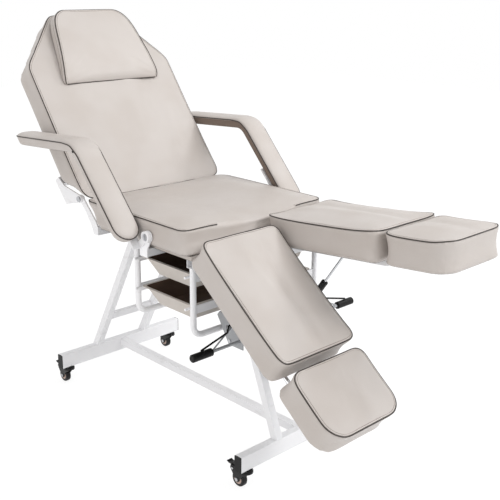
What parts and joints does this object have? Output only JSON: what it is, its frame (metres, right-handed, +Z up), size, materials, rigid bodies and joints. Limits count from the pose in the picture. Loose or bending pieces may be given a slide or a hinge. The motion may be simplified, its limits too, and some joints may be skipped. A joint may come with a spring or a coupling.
{
  "type": "tattoo chair",
  "caption": "Reclining tattoo chair with padded seat, back and arms, split leg rests on gas springs, sliding trays below the seat and braked casters.",
  "frame": {"origin": "on the floor, below the middle of the whole chair in its rest pose", "axes": "+Z up, -Y towards the feet, +Y towards the head end, +X to the sitter's left"},
  "size_m": [0.784, 1.6682, 1.324],
  "materials": {
    "upholstery": "synthetic leather over foam",
    "board": "plain board",
    "white_frame": "white powder coat",
    "grey_steel": "grey powder coat",
    "black_steel": "black paint",
    "zinc_steel": "zinc plated",
    "chrome_steel": "chrome plated",
    "black_plastic": "black plastic",
    "tray_plastic": "brown plastic",
    "caster_black": "black paint",
    "wheel": "black tread on a beige hub"
  },
  "bodies": {
    "chair_base": {"rear_base_beam": "white_frame", "front_base_beam": "white_frame", "base_centre_tube": "white_frame", "beam_end_caps": "black_plastic", "rear_legs": "white_frame", "front_legs": "white_frame", "rear_leg_crossbar": "white_frame", "seat_frame_rails": "white_frame", "seat_board": "board", "seat_cushion": "upholstery", "tray_hanger_front": "white_frame", "tray_hanger_rear": "white_frame", "tray_crossbars": "white_frame", "tray_rods": "white_frame", "back_hinge_gussets": "white_frame", "knee_pins": "zinc_steel", "hinge_bolts": "zinc_steel", "arm_pivots": "white_frame", "lever_brackets": "grey_steel", "bracket_pins": "zinc_steel", "handle_grips": "black_plastic", "caster_stems": "caster_black"},
    "backrest": {"back_frame": "white_frame", "back_board": "board", "back_cushion": "upholstery"},
    "headrest": {"headrest_pillow": "upholstery"},
    "arm_right": {"arm_pad_right": "upholstery", "arm_board_right": "board", "arm_bracket_right": "white_frame"},
    "calf_rest_right": {"calf_pad_right": "upholstery", "calf_frame_right": "white_frame"},
    "foot_rest_right": {"foot_pad_right": "upholstery", "foot_slide_right": "chrome_steel"},
    "spring_case_right": {"gas_cylinder_right": "black_steel"},
    "spring_rod_right": {"gas_rod_right": "chrome_steel"},
    "lever_right": {"release_lever_right": "chrome_steel"},
    "arm_left": {"arm_pad_left": "upholstery", "arm_board_left": "board", "arm_bracket_left": "white_frame"},
    "calf_rest_left": {"calf_pad_left": "upholstery", "calf_frame_left": "white_frame"},
    "foot_rest_left": {"foot_pad_left": "upholstery", "foot_slide_left": "chrome_steel"},
    "spring_case_left": {"gas_cylinder_left": "black_steel"},
    "spring_rod_left": {"gas_rod_left": "chrome_steel"},
    "lever_left": {"release_lever_left": "chrome_steel"},
    "upper_tray": {"tray_upper": "tray_plastic"},
    "lower_tray": {"tray_lower": "tray_plastic"},
    "caster_front_right": {"caster_fork_front_right": "caster_black"},
    "wheel_front_right": {"caster_wheel_front_right": "wheel"},
    "pedal_front_right": {"caster_pedal_front_right": "caster_black"},
    "caster_front_left": {"caster_fork_front_left": "caster_black"},
    "wheel_front_left": {"caster_wheel_front_left": "wheel"},
    "pedal_front_left": {"caster_pedal_front_left": "caster_black"},
    "caster_rear_right": {"caster_fork_rear_right": "caster_black"},
    "wheel_rear_right": {"caster_wheel_rear_right": "wheel"},
    "pedal_rear_right": {"caster_pedal_rear_right": "caster_black"},
    "caster_rear_left": {"caster_fork_rear_left": "caster_black"},
    "wheel_rear_left": {"caster_wheel_rear_left": "wheel"},
    "pedal_rear_left": {"caster_pedal_rear_left": "caster_black"}
  },
  "joints": [
    {"name": "back_recline", "type": "hinge", "parent": "chair_base", "child": "backrest", "pos_m": [0, 0.3861, 0.75], "axis": [1, 0, 0], "range_deg": [-53, 22]},
    {"name": "headrest_height", "type": "slide", "parent": "backrest", "child": "headrest", "axis": [0, 0.6018, 0.7986], "range_m": [-0.12, 0.02]},
    {"name": "arm_lift_right", "type": "hinge", "parent": "chair_base", "child": "arm_right", "pos_m": [-0.3075, -0.0048, 0.7121], "axis": [1, 0, 0], "range_deg": [0, 75]},
    {"name": "calf_swing_right", "type": "hinge", "parent": "chair_base", "child": "calf_rest_right", "pos_m": [-0.155, -0.1959, 0.68], "axis": [1, 0, 0], "range_deg": [-43.6, 0]},
    {"name": "foot_slide_right", "type": "slide", "parent": "calf_rest_right", "child": "foot_rest_right", "axis": [0, -0.7815, -0.6239], "range_m": [-0.009, 0.141]},
    {"name": "spring_case_turn_right", "type": "hinge", "parent": "chair_base", "child": "spring_case_right", "pos_m": [-0.146, -0.2119, 0.405], "axis": [1, 0, 0], "range_deg": [-9.04, 0]},
    {"name": "spring_rod_slide_right", "type": "slide", "parent": "spring_case_right", "child": "spring_rod_right", "axis": [0, -0.6947, 0.7193], "range_m": [0, 0.14574]},
    {"name": "lever_lift_right", "type": "hinge", "parent": "chair_base", "child": "lever_right", "pos_m": [-0.176, -0.2362, 0.47], "axis": [0, 1, 0], "range_deg": [0, 8], "stiffness_Nm_per_rad": 0.5, "springref_deg": -6.88},
    {"name": "arm_lift_left", "type": "hinge", "parent": "chair_base", "child": "arm_left", "pos_m": [0.3075, -0.0048, 0.7121], "axis": [1, 0, 0], "range_deg": [0, 75]},
    {"name": "calf_swing_left", "type": "hinge", "parent": "chair_base", "child": "calf_rest_left", "pos_m": [0.155, -0.1959, 0.68], "axis": [1, 0, 0], "range_deg": [0, 43.6]},
    {"name": "foot_slide_left", "type": "slide", "parent": "calf_rest_left", "child": "foot_rest_left", "axis": [0, -0.9962, 0.0872], "range_m": [0, 0.15]},
    {"name": "spring_case_turn_left", "type": "hinge", "parent": "chair_base", "child": "spring_case_left", "pos_m": [0.146, -0.2119, 0.405], "axis": [1, 0, 0], "range_deg": [0, 9.04]},
    {"name": "spring_rod_slide_left", "type": "slide", "parent": "spring_case_left", "child": "spring_rod_left", "axis": [0, -0.5732, 0.8194], "range_m": [-0.14574, 0]},
    {"name": "lever_lift_left", "type": "hinge", "parent": "chair_base", "child": "lever_left", "pos_m": [0.176, -0.2362, 0.47], "axis": [0, -1, 0], "range_deg": [0, 8], "stiffness_Nm_per_rad": 0.5, "springref_deg": -6.88},
    {"name": "tray_slide_upper", "type": "slide", "parent": "chair_base", "child": "upper_tray", "axis": [1, 0, 0], "range_m": [-0.18, 0.18]},
    {"name": "tray_slide_lower", "type": "slide", "parent": "chair_base", "child": "lower_tray", "axis": [1, 0, 0], "range_m": [-0.18, 0.18]},
    {"name": "swivel_front_right", "type": "hinge", "parent": "chair_base", "child": "caster_front_right", "pos_m": [-0.237, -0.3649, 0.06], "axis": [0, 0, 1], "continuous": true},
    {"name": "roll_front_right", "type": "hinge", "parent": "caster_front_right", "child": "wheel_front_right", "pos_m": [-0.237, -0.3374, 0.025], "axis": [1, 0, 0], "continuous": true},
    {"name": "brake_front_right", "type": "hinge", "parent": "caster_front_right", "child": "pedal_front_right", "pos_m": [-0.237, -0.3324, 0.058], "axis": [1, 0, 0], "range_deg": [-8, 0]},
    {"name": "swivel_front_left", "type": "hinge", "parent": "chair_base", "child": "caster_front_left", "pos_m": [0.237, -0.3649, 0.06], "axis": [0, 0, 1], "continuous": true},
    {"name": "roll_front_left", "type": "hinge", "parent": "caster_front_left", "child": "wheel_front_left", "pos_m": [0.237, -0.3374, 0.025], "axis": [1, 0, 0], "continuous": true},
    {"name": "brake_front_left", "type": "hinge", "parent": "caster_front_left", "child": "pedal_front_left", "pos_m": [0.237, -0.3324, 0.058], "axis": [1, 0, 0], "range_deg": [-8, 0]},
    {"name": "swivel_rear_right", "type": "hinge", "parent": "chair_base", "child": "caster_rear_right", "pos_m": [-0.237, 0.5911, 0.06], "axis": [0, 0, 1], "continuous": true},
    {"name": "roll_rear_right", "type": "hinge", "parent": "caster_rear_right", "child": "wheel_rear_right", "pos_m": [-0.237, 0.6186, 0.025], "axis": [1, 0, 0], "continuous": true},
    {"name": "brake_rear_right", "type": "hinge", "parent": "caster_rear_right", "child": "pedal_rear_right", "pos_m": [-0.237, 0.6236, 0.058], "axis": [1, 0, 0], "range_deg": [-8, 0]},
    {"name": "swivel_rear_left", "type": "hinge", "parent": "chair_base", "child": "caster_rear_left", "pos_m": [0.237, 0.5911, 0.06], "axis": [0, 0, 1], "continuous": true},
    {"name": "roll_rear_left", "type": "hinge", "parent": "caster_rear_left", "child": "wheel_rear_left", "pos_m": [0.237, 0.6186, 0.025], "axis": [1, 0, 0], "continuous": true},
    {"name": "brake_rear_left", "type": "hinge", "parent": "caster_rear_left", "child": "pedal_rear_left", "pos_m": [0.237, 0.6236, 0.058], "axis": [1, 0, 0], "range_deg": [-8, 0]}
  ],
  "couplings": [
    {"joint": "spring_case_turn_right", "follows": "calf_swing_right", "ratio": 0.20714},
    {"joint": "spring_rod_slide_right", "follows": "calf_swing_right", "m_per_rad": -0.19139},
    {"joint": "spring_case_turn_left", "follows": "calf_swing_left", "ratio": 0.20714},
    {"joint": "spring_rod_slide_left", "follows": "calf_swing_left", "m_per_rad": -0.19139}
  ]
}
